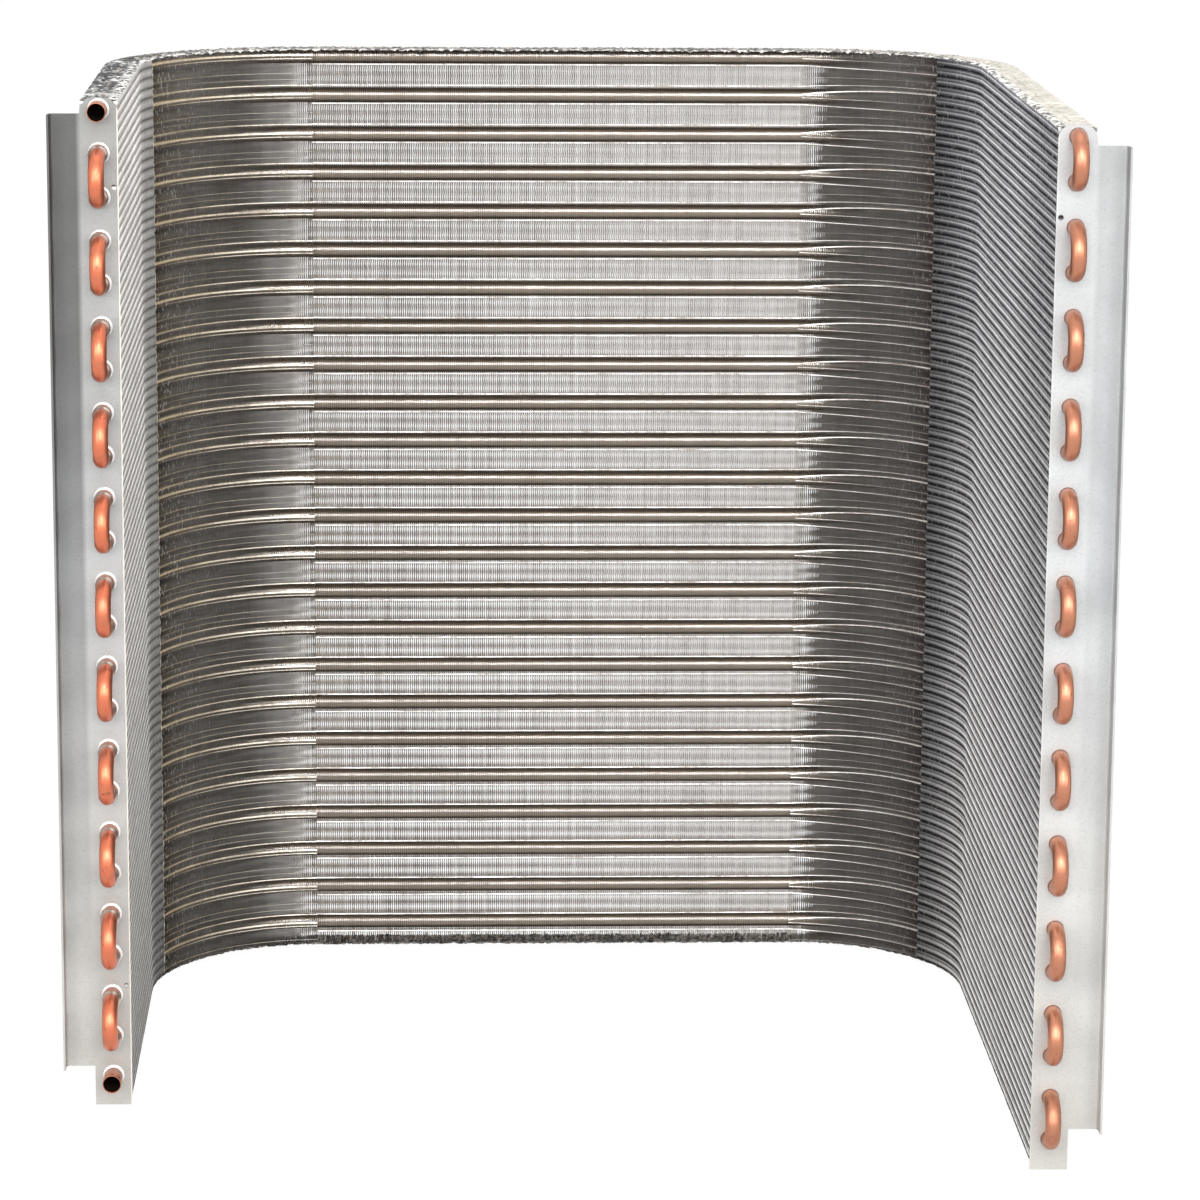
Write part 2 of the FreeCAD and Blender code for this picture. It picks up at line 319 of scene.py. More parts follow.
def scaled(colour, factor):
    """A plain colour, lighter or darker."""
    return tuple(factor * part for part in colour)


# Finishes

# Painted light and shade of a fin within one row pitch, from a tube's centre up to the next
# one's: painted highlights of the tubes, painted white lines where light would show between the
# fins and painted shade beside the tubes. A part that one looks along shows the tubes; in the
# corners only the fins' inner edges show.
BACK_LIGHT_AND_SHADE = (
    (0.000, (0.74, 0.66, 0.58)), (0.190, (0.54, 0.48, 0.43)), (0.225, (0.74, 0.69, 0.64)),
    (0.243, (0.92, 0.90, 0.88)), (0.290, (0.92, 0.90, 0.88)), (0.320, (0.68, 0.64, 0.61)),
    (0.400, (0.74, 0.71, 0.68)), (0.500, (0.82, 0.79, 0.77)), (0.640, (0.74, 0.71, 0.68)),
    (0.700, (0.70, 0.66, 0.63)), (0.722, (0.46, 0.42, 0.39)), (0.745, (0.92, 0.90, 0.88)),
    (0.795, (0.92, 0.90, 0.88)), (0.815, (0.62, 0.57, 0.52)))
# The front edges of the back run's fins, and the same foil with painted light where the light would
# fall along it.
BACK_EDGE = (0.76, 0.73, 0.70)
LIT_FOIL = (1.0, 0.97, 0.93)
BACK_METALLIC = 0.92
LEFT_BEND_LIGHT_AND_SHADE = (
    (0.000, (0.40, 0.33, 0.23)), (0.025, (1.00, 0.86, 0.60)), (0.070, (1.00, 0.90, 0.66)),
    (0.100, (0.22, 0.18, 0.12)), (0.150, (0.10, 0.08, 0.06)), (0.215, (0.14, 0.12, 0.09)),
    (0.245, (0.70, 0.60, 0.44)), (0.280, (0.66, 0.57, 0.43)), (0.310, (0.22, 0.18, 0.13)),
    (0.440, (0.16, 0.13, 0.10)), (0.480, (0.10, 0.08, 0.06)), (0.540, (0.15, 0.12, 0.09)),
    (0.570, (0.40, 0.34, 0.26)), (0.600, (0.19, 0.16, 0.12)), (0.780, (0.17, 0.14, 0.10)),
    (0.830, (0.06, 0.05, 0.04)), (0.900, (0.05, 0.04, 0.03)), (0.950, (0.15, 0.12, 0.09)))
RIGHT_BEND_LIGHT_AND_SHADE = (
    (0.000, (0.08, 0.06, 0.06)), (0.150, (0.10, 0.08, 0.07)), (0.190, (0.18, 0.15, 0.14)),
    (0.205, (1.00, 0.98, 0.95)), (0.240, (1.00, 0.95, 0.90)), (0.255, (0.12, 0.10, 0.09)),
    (0.300, (0.08, 0.06, 0.05)), (0.335, (0.40, 0.35, 0.32)), (0.365, (0.34, 0.30, 0.27)),
    (0.390, (0.14, 0.11, 0.10)), (0.560, (0.18, 0.15, 0.14)), (0.600, (0.07, 0.06, 0.05)),
    (0.660, (0.08, 0.06, 0.05)), (0.700, (0.15, 0.12, 0.11)), (0.740, (0.48, 0.43, 0.40)),
    (0.780, (0.18, 0.15, 0.13)), (0.860, (0.07, 0.05, 0.05)), (0.940, (0.19, 0.16, 0.15)))

# Painted light and shade of one ripple of a fin that faces the front: light stripes for the
# flanks that would face the light, painted shade for the others.
LEFT_ARM_LIGHT_AND_SHADE = (
    (0.00, (0.26, 0.25, 0.24)), (0.14, (0.75, 0.74, 0.71)), (0.28, (1.00, 1.00, 0.99)),
    (0.52, (1.00, 0.99, 0.97)), (0.62, (0.80, 0.78, 0.76)), (0.80, (0.72, 0.70, 0.68)),
    (0.94, (0.30, 0.29, 0.28)))
RIGHT_LOW_LIGHT_AND_SHADE = (
    (0.00, (0.02, 0.02, 0.02)), (0.14, (0.30, 0.30, 0.31)), (0.21, (1.00, 1.00, 1.00)),
    (0.46, (1.00, 1.00, 1.00)), (0.51, (0.22, 0.22, 0.23)), (0.60, (0.36, 0.36, 0.37)),
    (0.66, (1.00, 1.00, 1.00)), (0.75, (1.00, 1.00, 1.00)), (0.80, (0.12, 0.12, 0.12)))
RIGHT_HIGH_LIGHT_AND_SHADE = (
    (0.00, (0.05, 0.05, 0.06)), (0.12, (0.28, 0.29, 0.32)), (0.25, (0.34, 0.35, 0.38)),
    (0.29, (1.00, 1.00, 1.00)), (0.38, (1.00, 1.00, 1.00)), (0.42, (0.26, 0.27, 0.30)),
    (0.62, (0.36, 0.37, 0.41)), (0.67, (1.00, 1.00, 1.00)), (0.73, (0.34, 0.35, 0.38)),
    (0.88, (0.04, 0.04, 0.05)))

# Depths in a fin, 0 at its inner edge, between which the back run's painted light and shade
# come out.
TONE_DEPTHS = (0.1, 0.2111)

# How much painted light lightens the back run's foil at both ends, where one looks along the
# fins, and how much more so at its left end; with the places in metres where that starts and is
# full.
END_PAINTED_LIGHT = 0.3
END_PAINTED_LIGHT_PLACES = (0.10, 0.18)
LEFT_PAINTED_LIGHT = 0.22
LEFT_PAINTED_LIGHT_PLACES = (-0.09, -0.16)

# Height that counts as the top where a look changes from the bottom up.
LOOK_TOP = 0.60

# What is left of a tone under full painted shade.
FULL_PAINTED_SHADE = (0.03, 0.03, 0.03)


class FinLook(NamedTuple):
    """How the fins of one stretch look."""
    low_tones: tuple
    high_tones: tuple
    metallic: float
    scores: float
    specks: float
    periods: int = 1
    painted_shade_low: float = 0.0
    painted_shade_high: float = 0.0
    back_end: Optional[int] = None
    back_painted_light: float = 0.0
    roughness: float = 0.27


# periods is the number of tone periods in a row pitch, the two fields after it how much painted
# shade darkens the tones at the bottom and at the top, scores and specks how much fine scores and
# bright specks show, and back_end the end of a bend, 0 or 1, that meets the back run, with painted
# light lightening its foil there by the field after it.
FIN_LOOKS = {
    "left_arm": FinLook(
        LEFT_ARM_LIGHT_AND_SHADE, LEFT_ARM_LIGHT_AND_SHADE, 0.5, 0.2, 0.3, periods=4, painted_shade_low=0.58, painted_shade_high=0.12),
    "left_bend": FinLook(
        LEFT_BEND_LIGHT_AND_SHADE, LEFT_BEND_LIGHT_AND_SHADE, 0.1, 0.6, 0.4, painted_shade_low=0.60, painted_shade_high=0.32,
        back_end=1, back_painted_light=0.3),
    "back": FinLook(BACK_LIGHT_AND_SHADE, BACK_LIGHT_AND_SHADE, BACK_METALLIC, 0.25, 0.3, roughness=0.16),
    "right_bend": FinLook(
        RIGHT_BEND_LIGHT_AND_SHADE, RIGHT_BEND_LIGHT_AND_SHADE, 0.1, 0.6, 0.25, painted_shade_low=0.3, painted_shade_high=0.3,
        back_end=0, back_painted_light=0.7),
    "right_arm": FinLook(RIGHT_LOW_LIGHT_AND_SHADE, RIGHT_HIGH_LIGHT_AND_SHADE, 0.35, 0.3, 0.3, periods=4),
}


class RimLook(NamedTuple):
    """How the crushed edges of one stretch look, with painted highlights and painted shade."""
    light: tuple
    dark: tuple
    metallic: float
    darkness: float


# light and dark are the painted highlight and painted shade of the folds, and darkness is how much
# of the folds is dark: half of them at 0.5 and nearly all at 1.
RIM_LOOKS = {
    "left_arm": RimLook((0.90, 0.90, 0.90), (0.02, 0.02, 0.02), 0.2, 1.13),
    "left_bend": RimLook((0.80, 0.77, 0.70), (0.04, 0.03, 0.02), 0.3, 0.98),
    "back": RimLook((0.66, 0.61, 0.54), (0.05, 0.04, 0.03), 0.3, 0.89),
    "right_bend": RimLook((0.74, 0.71, 0.64), (0.16, 0.14, 0.12), 0.3, 0.50),
    "right_arm": RimLook((0.70, 0.67, 0.60), (0.52, 0.49, 0.43), 0.0, 0.41),
}


def back_tone(finish, phase):
    """Painted light and shade of a fin on the back run: plainer at its front edge, with painted
    lines deeper in and painted light towards its ends.
    """
    deep = finish.mark("depth").rise(*TONE_DEPTHS)
    tone = finish.blend(0.45 + 0.55 * deep, BACK_EDGE, finish.ramp(phase, BACK_LIGHT_AND_SHADE))
    ends = abs(finish.along("X")).rise(*END_PAINTED_LIGHT_PLACES)
    left_end = finish.along("X").rise(*LEFT_PAINTED_LIGHT_PLACES)
    return finish.blend(ends * END_PAINTED_LIGHT + left_end * LEFT_PAINTED_LIGHT, tone, LIT_FOIL)


def arm_shade(finish, name, high):
    """What else of painted shade darkens an arm's fins, by their place along the arm.

    The left arm's first fin has its plate's shade painted on it. The right arm's fins get painted
    shade beside their bend and, but for their lowest part, towards their plate."""
    share = finish.mark("share")
    if name == "left_arm":
        return share.rise(0.003, 0.0) * 2.0
    by_bend = share.rise(0.10, 0.0) * 0.5
    by_plate = share.rise(0.62, 0.87) * high.rise(0.2, 0.45) * 0.3
    return by_bend + by_plate


def make_foil_finish(colours, sizes, name):
    """Fin foil with painted light and shade for each height in a period of its look."""
    look = FIN_LOOKS[name]
    finish = Finish("foil_" + name)
    row = (finish.along("Z") - sizes.foot) / sizes.pitch * look.periods
    streak = finish.noise(scale=30, stretch=(0.6, 0.6, 9.0))
    grain = finish.noise(scale=150, detail=4, stretch=(1, 1, 0.3))
    cloud = finish.noise(scale=9)
    scores = finish.noise(scale=60, detail=2, stretch=(1, 1, 12)).rise(0.45, 0.7833)
    specks = finish.noise(scale=700, detail=2, stretch=(1, 1, 0.35)).rise(0.60, 0.6625)
    phase = (row + (streak - 0.5) * 0.05 * look.periods).fraction()
    high = finish.along("Z").rise(0.0, LOOK_TOP)
    metallic = look.metallic
    if name == "back":
        tone = back_tone(finish, phase)
    else:
        low_tone = finish.ramp(phase, look.low_tones)
        tone = finish.blend(high, low_tone, finish.ramp(phase, look.high_tones))
        # Painted shade, by height and, on the arms, by place along the arm.
        shade_amount = high * (look.painted_shade_high - look.painted_shade_low) + look.painted_shade_low
        if name in ("left_arm", "right_arm"):
            shade_amount = shade_amount + arm_shade(finish, name, high)
        tone = finish.worn(shade_amount.clamp(), tone, FULL_PAINTED_SHADE)
    # Where a bend meets the back run, its foil takes the back run's painted light and shade, with
    # painted light over it.
    if look.back_end is not None:
        share = finish.mark("share")
        near = share if look.back_end == 1 else 1.0 - share
        metallic = near ** 1.2 * (BACK_METALLIC - metallic) + metallic
        lit = finish.blend(look.back_painted_light, back_tone(finish, phase), LIT_FOIL)
        tone = finish.blend(near, tone, lit)
    patchiness = 0.5 * (cloud - 0.45) + 0.45 * (grain - 0.5) + 0.45 * (streak - 0.5)
    shade = finish.worn(patchiness.clamp(), finish.tint(tone, colours.foil), (0.46, 0.38, 0.32))
    shade = finish.worn(scores * look.scores, shade, (0.40, 0.35, 0.31))
    shade = finish.blend(specks * look.specks, shade, (0.95, 0.93, 0.90))
    shade = finish.worn(finish.mark("tint") * 0.16, shade, (0.42, 0.40, 0.38))
    finish.set(Base_Color=shade, Metallic=metallic, Roughness=look.roughness + 0.14 * grain)
    return finish.material


def make_rim_finish(colours, name):
    """Crushed foil edges: painted highlights and painted shade on the folds, and painted black and
    white glints at the inner edge.
    """
    look = RIM_LOOKS[name]
    finish = Finish("rim_" + name)
    fold = finish.noise(scale=260, stretch=(1, 1, 0.4))
    patch = finish.noise(scale=38)
    inner = finish.mark("across").rise(-0.35, -0.60)
    mask = ((fold - 0.5) * 5.0 + (patch - 0.5) * 3.0 + look.darkness).clamp()
    light = finish.tint(look.light, colours.foil)
    tone = finish.blend(mask, light, finish.tint(look.dark, colours.foil))
    spots = fold.rise(0.4583, 0.5417)
    edge = finish.blend(spots, (0.04, 0.035, 0.03), (0.95, 0.93, 0.89))
    tone = finish.blend(inner * 0.9, tone, edge)
    finish.set(Base_Color=tone, Metallic=look.metallic, Roughness=0.3 + 0.12 * fold)
    return finish.material


# Painted light and shade round a tube in its collars, from its underside to its top: painted
# shade below and above and a white painted highlight a little over its middle.
COLLAR_LIGHT_AND_SHADE = (
    (0.00, (0.34, 0.28, 0.22)), (0.18, (0.50, 0.42, 0.34)), (0.26, (0.74, 0.66, 0.57)),
    (0.42, (0.66, 0.58, 0.49)), (0.54, (0.58, 0.50, 0.42)), (0.575, (1.00, 1.00, 1.00)),
    (0.665, (1.00, 1.00, 1.00)), (0.70, (0.48, 0.40, 0.32)), (0.92, (0.40, 0.33, 0.26)))


def make_collar_finish(sizes):
    """Fin collars pressed on the tubes: a fine ring to each fin, and a painted highlight on one
    line.
    """
    finish = Finish("fin_collars")
    ring = (finish.mark("run") * (math.tau / sizes.fin_pitch)).sine() * 0.5 + 0.5
    patch = finish.noise(scale=60)
    tone = finish.ramp(finish.mark("lift"), COLLAR_LIGHT_AND_SHADE)
    shade = finish.worn(patch * 0.35, tone, (0.72, 0.64, 0.55))
    shade = finish.worn(ring * 0.3, shade, (0.5, 0.45, 0.4))
    finish.set(Base_Color=shade, Metallic=0.55, Roughness=0.3 + 0.14 * patch)
    finish.bump(ring, 0.08 * MM, 0.4)
    return finish.material


def make_copper_finish(colours, name, base, age):
    """Copper tube; age runs from 0, clean, to 1, brown all over."""
    finish = Finish(name)
    cloud = finish.noise(scale=95, detail=5)
    spots = finish.noise(scale=420)
    mask = ((cloud - 0.54) * 3.0 + age + finish.mark("heat") * 0.35).clamp()
    bright = finish.blend(spots, base, scaled(base, 0.84))
    tone = finish.blend(mask * 0.75, bright, colours.tarnish)
    dots = finish.noise(scale=260, detail=2).rise(0.66, 0.7314)
    tone = finish.blend(dots * 0.6, tone, (0.16, 0.07, 0.05))
    finish.set(Base_Color=tone, Metallic=0.85, Roughness=0.33 + 0.14 * mask + 0.08 * spots)
    finish.bump(cloud + spots * 0.3, 0.16 * MM, 0.3)
    return finish.material


def make_filler_finish(colours):
    """Braze metal, wavy and patchy."""
    finish = Finish("braze_filler")
    cloud = finish.noise(scale=520)
    tone = finish.blend(cloud, colours.filler, scaled(colours.filler, 0.7))
    finish.set(Base_Color=tone, Metallic=1.0, Roughness=0.3 + 0.2 * cloud)
    finish.bump(cloud, 0.3 * MM, 0.5)
    return finish.material


def make_zinc_finish(colours, sizes, name, lift, axis_x, shade_and_highlight):
    """Galvanised sheet: fine speckle, cloudy stains, scratches and a painted shadow round each
    hole.

    axis_x is the x of the plate's tubes, lift how light the sheet is, and the last argument how
    much painted shade darkens its flange and its top and how much a painted highlight lightens
    its inner edge."""
    finish = Finish(name)
    across = finish.along("X") - axis_x
    side = math.copysign(1.0, axis_x)
    flange = (across * side).rise(10.5 * MM, 13.5 * MM)
    inner_edge_highlight = (across * -side).rise(10.3 * MM, 10.6 * MM)
    high = finish.along("Z").rise(0.06, 0.46)
    low = finish.along("Z").rise(0.35, 0.0)
    top = finish.along("Z").rise(0.30, 0.60)
    row = (finish.along("Z") - sizes.foot) / sizes.pitch
    up = ((row + 0.5).fraction() - 0.5) * sizes.pitch
    reach = (across * across + up * up).root()
    ring = reach.rise(sizes.tube / 2 + 0.55 * MM, sizes.tube / 2)
    cloud = finish.noise(scale=26, detail=5)
    stain = finish.noise(scale=9, stretch=(1, 1, 0.6))
    speck = finish.noise(scale=900)
    scratch = finish.noise(scale=120, detail=2, stretch=(1, 1, 0.06))
    light = scaled(colours.zinc, lift)
    tone = finish.blend(cloud.rise(0.36, 0.8145), scaled(light, 0.80), light)
    tone = finish.blend(stain.rise(0.5, 1.125), tone, scaled(light, 0.70))
    tone = finish.blend(speck.rise(0.5, 0.8846) * 0.55, tone, scaled(light, 0.52))
    # Painted shade on the flange's upper part and on the top, painted light towards the bottom, a
    # painted highlight on the inner edge and a painted shadow ring round each hole.
    tone = finish.worn(flange * high * shade_and_highlight, tone, (0.02, 0.02, 0.02))
    tone = finish.worn(top * shade_and_highlight * 0.6, tone, (0.10, 0.07, 0.0))
    tone = finish.worn(low * 0.7, tone, (1.16, 1.07, 0.96))
    tone = finish.blend(inner_edge_highlight * shade_and_highlight, tone, (0.95, 0.90, 0.78))
    tone = finish.blend(ring * 0.85, tone, (0.05, 0.03, 0.025))
    finish.set(Base_Color=tone, Metallic=0.55, Roughness=0.40 + 0.16 * cloud)
    finish.bump(speck * 0.5 + scratch * 0.5 + cloud * 0.3, 0.12 * MM, 0.4)
    return finish.material


def make_rim_zinc_finish():
    """The bright raised collars of the left plate's holes."""
    finish = Finish("collar_zinc")
    cloud = finish.noise(scale=400)
    tone = finish.blend(cloud, (0.95, 0.95, 0.94), (0.72, 0.72, 0.71))
    finish.set(Base_Color=tone, Metallic=0.5, Roughness=0.3 + 0.1 * cloud)
    finish.bump(cloud, 0.1 * MM, 0.4)
    return finish.material


def make_bore_finish():
    """The inside of the two open tubes, near black as painted shade."""
    finish = Finish("tube_bore")
    bore_shade = finish.noise(scale=300)
    tone = finish.blend(bore_shade, (0.004, 0.003, 0.002), (0.012, 0.008, 0.005))
    finish.set(Base_Color=tone, Roughness=0.95, Specular_IOR_Level=0.05)
    return finish.material


# Painted highlight lines where the ripples' crests by the tubes would catch the light, for each
# stretch: heights over the tube's centre at the stretch's start and end, as parts of a row pitch,
# and half widths there in millimetres.
CREST_LINES = {
    "left_bend": (
        (0.048, 0.052, 0.55, 0.55), (0.255, 0.282, 0.22, 0.32), (0.43, 0.43, 0.12, 0.10),
        (0.585, 0.585, 0.14, 0.10), (-0.05, -0.04, 0.05, 0.25)),
    "back": ((0.292, 0.292, 0.34, 0.34), (-0.176, -0.176, 0.34, 0.34)),
    "right_bend": (
        (0.085, 0.222, 0.50, 0.30), (0.292, 0.350, 0.34, 0.16), (-0.176, -0.260, 0.34, 0.20),
        (0.52, 0.52, 0.08, 0.08), (0.0, -0.05, 0.30, 0.10)),
}

# Tones of the painted crest highlights at the two ends of each stretch, and how patchy they are.
CREST_LOOKS = {
    "left_bend": ((0.52, 0.40, 0.23), (0.98, 0.94, 0.84), 0.25),
    "back": ((0.90, 0.89, 0.88), (0.86, 0.85, 0.83), 0.40),
    "right_bend": ((0.92, 0.90, 0.87), (0.66, 0.60, 0.56), 0.35),
}


def make_crest_finish(name):
    """Painted highlights on the foil crests, broken into patches and into fine ticks by the fins.
    """
    first, last, patchiness = CREST_LOOKS[name]
    finish = Finish("crests_" + name)
    patch = finish.noise(scale=40, stretch=(1, 1, 6))
    grain = finish.noise(scale=500, detail=2, stretch=(1, 1, 0.2))
    mask = ((patch - 0.5) * 3.0 + (grain - 0.5) * 2.0 + patchiness).clamp()
    tone = finish.blend(finish.mark("share"), first, last)
    tone = finish.worn(mask, tone, (0.42, 0.38, 0.35))
    finish.set(Base_Color=tone, Metallic=0.25, Roughness=0.3 + 0.2 * patch)
    return finish.material


# Plan of the coil

# How far the look of each arm runs on into its corner, in degrees.
LEFT_ARM_TURN = 20
RIGHT_ARM_TURN = 38


class Plan:
    """The tube line seen from above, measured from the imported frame."""

    def __init__(self, sizes):
        half = sizes.depth / 2
        _, left_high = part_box("left_end_plate")
        right_low, right_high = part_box("right_end_plate")
        _, coil_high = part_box("finned_tube_coil")
        self.radius = sizes.corner
        self.left_x = left_high[0] - half
        self.right_x = right_low[0] + half
        self.left_y = left_high[1]
        self.right_y = right_high[1]
        self.back_y = coil_high[1] - half
        quarter = math.pi / 2 * self.radius
        left = self.back_y - self.radius - self.left_y
        back = self.right_x - self.left_x - 2 * self.radius
        right = self.back_y - self.radius - self.right_y
        if min(left, back, right) <= 0:
            raise RuntimeError("the corners don't fit between the end plates")
        names = ("left_run", "left_corner", "back_run", "right_corner", "right_run")
        self.spans = {}
        start = 0.0
        for name, length in zip(names, (left, quarter, back, quarter, right)):
            self.spans[name] = (start, start + length)
            start += length
        self.length = start
        first = self.spans["left_run"][1] + math.radians(LEFT_ARM_TURN) * self.radius
        last = self.spans["right_run"][0] - math.radians(RIGHT_ARM_TURN) * self.radius
        back_start, back_end = self.spans["back_run"]
        self.looks = {
            "left_arm": (0.0, first),
            "left_bend": (first, back_start),
            "back": (back_start, back_end),
            "right_bend": (back_end, last),
            "right_arm": (last, self.length),
        }
        self.low = sizes.foot - sizes.below
        self.high = sizes.foot + (sizes.rows - 1) * sizes.pitch + sizes.above

    def line(self, run):
        """Points, headings and outward directions at distances run along the tube line."""
        run = np.asarray(run, dtype=float)
        place = np.zeros((len(run), 2))
        turn = np.zeros(len(run))
        for name, (start, end) in self.spans.items():
            inside = (run >= start) & (run < end)
            if name == "left_run":
                inside = run < end
            elif name == "right_run":
                inside = run >= start
            ahead = run[inside] - start
            if name == "left_run":
                place[inside] = np.c_[np.full(len(ahead), self.left_x), self.left_y + ahead]
                turn[inside] = 0
            elif name == "left_corner":
                turn[inside] = ahead / self.radius
                centre = (self.left_x + self.radius, self.back_y - self.radius)
                place[inside] = self.round(centre, turn[inside])
            elif name == "back_run":
                across = self.left_x + self.radius + ahead
                place[inside] = np.c_[across, np.full(len(ahead), self.back_y)]
                turn[inside] = math.pi / 2
            elif name == "right_corner":
                turn[inside] = math.pi / 2 + ahead / self.radius
                centre = (self.right_x - self.radius, self.back_y - self.radius)
                place[inside] = self.round(centre, turn[inside])
            else:
                down = self.back_y - self.radius - ahead
                place[inside] = np.c_[np.full(len(ahead), self.right_x), down]
                turn[inside] = math.pi
        heading = np.c_[np.sin(turn), np.cos(turn)]
        outward = np.c_[-np.cos(turn), np.sin(turn)]
        return place, heading, outward

    def round(self, centre, turn):
        return np.c_[
            centre[0] - self.radius * np.cos(turn),
            centre[1] + self.radius * np.sin(turn)]


# Mesh helpers

def add_piece(name, points, faces, material, smooth=True, **marks):
    """A mesh object that rides on the coil; marks are values kept at its points."""
    mesh = bpy.data.meshes.new(name)
    mesh.from_pydata(np.asarray(points).tolist(), [], np.asarray(faces).tolist())
    for key, values in marks.items():
        layer = mesh.attributes.new(key, "FLOAT", "POINT")
        layer.data.foreach_set("value", np.asarray(values, dtype=np.float32).ravel())
    mesh.materials.append(material)
    mesh.polygons.foreach_set("use_smooth", [smooth] * len(mesh.polygons))
    piece = bpy.data.objects.new(name, mesh)
    bpy.context.scene.collection.objects.link(piece)
    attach(piece, "root")
    return piece


def grid_faces(rings, around, closed=True, first=0):
    """Quads between rings of points; closed joins each ring's last point to its first."""
    ring = np.arange(rings - 1)[:, None]
    side = np.arange(around if closed else around - 1)[None, :]
    here = first + ring * around + side
    beside = first + ring * around + (side + 1) % around
    return np.stack([here, beside, beside + around, here + around], axis=-1).reshape(-1, 4)


def sweep(centres, sides, ups, radii, around):
    """Rings of points about centres, in the plane of sides and ups."""
    angle = np.arange(around) * (math.tau / around)
    cosine = np.cos(angle)[None, :, None]
    sine = np.sin(angle)[None, :, None]
    radius = np.asarray(radii)[:, None, None]
    rings = centres[:, None, :] + radius * (cosine * sides[:, None, :] + sine * ups[:, None, :])
    return rings.reshape(-1, 3)


class Heap:
    """Collects the points and faces of many like forms into one piece."""

    def __init__(self):
        self.points = []
        self.faces = []
        self.marks = []
        self.count = 0

    def add(self, points, faces, marks=None):
        self.points.append(points)
        self.faces.append(np.asarray(faces) + self.count)
        self.marks.append(np.zeros(len(points)) if marks is None else marks)
        self.count += len(points)

    def arrays(self):
        return np.concatenate(self.points), np.concatenate(self.faces), np.concatenate(self.marks)


def row_height(sizes, row):
    """Height of a tube's centre; row 0 is the lowest."""
    return sizes.foot + row * sizes.pitch


# Camera

# Where the camera is, in millimetres, its turns in radians, its focal length and the side of
# the photograph in picture points, and the width of its sensor in millimetres.
CAMERA_PLACE = (-91.2, -2737.5, 883.6)
CAMERA_PITCH = -0.2129
CAMERA_ROLL = -0.0072
CAMERA_YAW = -0.0409
CAMERA_FOCUS = 4551.3
PICTURE_SIDE = 1200
SENSOR = 36.0


class COIL_OT_camera(bpy.types.Operator):
    """Adds the camera at the photograph's angle"""
    bl_idname = "coil.camera"
    bl_label = "Camera"

    def execute(self, context):
        data = bpy.data.cameras.new("camera")
        data.sensor_width = SENSOR
        data.lens = CAMERA_FOCUS / PICTURE_SIDE * SENSOR
        data.clip_end = 50.0
        camera = bpy.data.objects.new("camera", data)
        context.scene.collection.objects.link(camera)
        turn = (
            Matrix.Rotation(CAMERA_YAW, 4, "Z")
            @ Matrix.Rotation(CAMERA_PITCH, 4, "X")
            @ Matrix.Rotation(CAMERA_ROLL, 4, "Y")
            @ Matrix.Rotation(math.pi / 2, 4, "X"))
        place = Vector(CAMERA_PLACE) * MM
        camera.matrix_world = Matrix.Translation(place) @ turn
        context.scene.camera = camera
        return {"FINISHED"}


# Fins

# Seeds of the fins' chance shifts: the first stretch's, and what is added for its rims.
FIN_SEED = 11
TOP_RIM_SEED = 20
LOW_RIM_SEED = 30

# Bent patches of the fins' inner edges, as the distance along the tube line, the height, the
# half length, the half height and the shift along the line, in millimetres.
BENT_PATCHES = (
    (150, 560, 14, 22, 0.9),
    (172, 505, 9, 14, -0.7),
    (270, 520, 12, 12, 0.7),
    (542, 452, 3, 10, 0.9),
    (1148, 160, 9, 14, 0.8),
)

# Nicked fins, as the distance along the tube line, the lowest and the highest nick, in
# millimetres.
NICKED_FINS = (
    (1198, 530, 585),
    (1216, 478, 575),
    (1229, 430, 570),
    (1236, 500, 560),
    (190, 470, 560),
)

# How far the fins' ends stay under their crushed edge, how far in from the ends the crushing
# reaches, and how many heights a fin has there.
RIM_ROOM = 1.1 * MM
CRUSH_REACH = 6.5 * MM
EDGE_STEPS = 4

# How far the fins' edges, the rims, the seam and the crest lines stay inside the CAD's fins.
FIN_INSET = 0.1 * MM
RIM_INSET = 0.15 * MM
SEAM_INSET = 0.2 * MM
CREST_INSET = 0.4 * MM

# Share of the full ripple and looseness of the edges in millimetres, on the arms and elsewhere.
ARM_RIPPLE = 0.8
FAR_RIPPLE = 0.3
ARM_LOOSE = 0.02
FAR_LOOSE = 0.045

# The fins' lean: size in millimetres, radians per metre along the line and up, and start.
LEANS = (
    (0.12, 43, 17, 0.0),
    (0.08, 171, -31, 1.3),
)

# Radians per metre of an edge's slight waves, and the shifts of crushed and of nicked fins.
BOW_WAVES = 60
CRUSH_SHIFT = 0.45 * MM
NICK_SHIFT = 1.6 * MM


def crushed(height, plan, reach):
    """1 at the fins' top and bottom edges, falling to 0 at reach from them."""
    ends = np.minimum(height - plan.low, plan.high - height)
    return np.clip(1 - ends / reach, 0, 1)


def fin_shift(run, height, sizes, crest):
    """How far each fin point is shifted along the run by the ripple and the fins' lean."""
    wave = math.tau * sizes.ripples / sizes.pitch
    shift = crest * np.cos(wave * (height - sizes.foot))[None, :]
    for size, along, up, start in LEANS:
        shift = shift + size * MM * np.sin(run[:, None] * along + height[None, :] * up + start)
    return shift


def edge_shift(run, height, plan, chance, loose):
    """Shift of one edge of the fins: handling, by loose, and the crushed rims."""
    still = chance.normal(0, loose * MM, len(run))[:, None]
    phase = chance.uniform(0, math.tau, len(run))[:, None]
    bow = loose * MM * np.sin(height[None, :] * BOW_WAVES + phase)
    crush = chance.normal(0, CRUSH_SHIFT, (len(run), len(height)))
    return still + bow + crush * crushed(height, plan, CRUSH_REACH)[None, :]


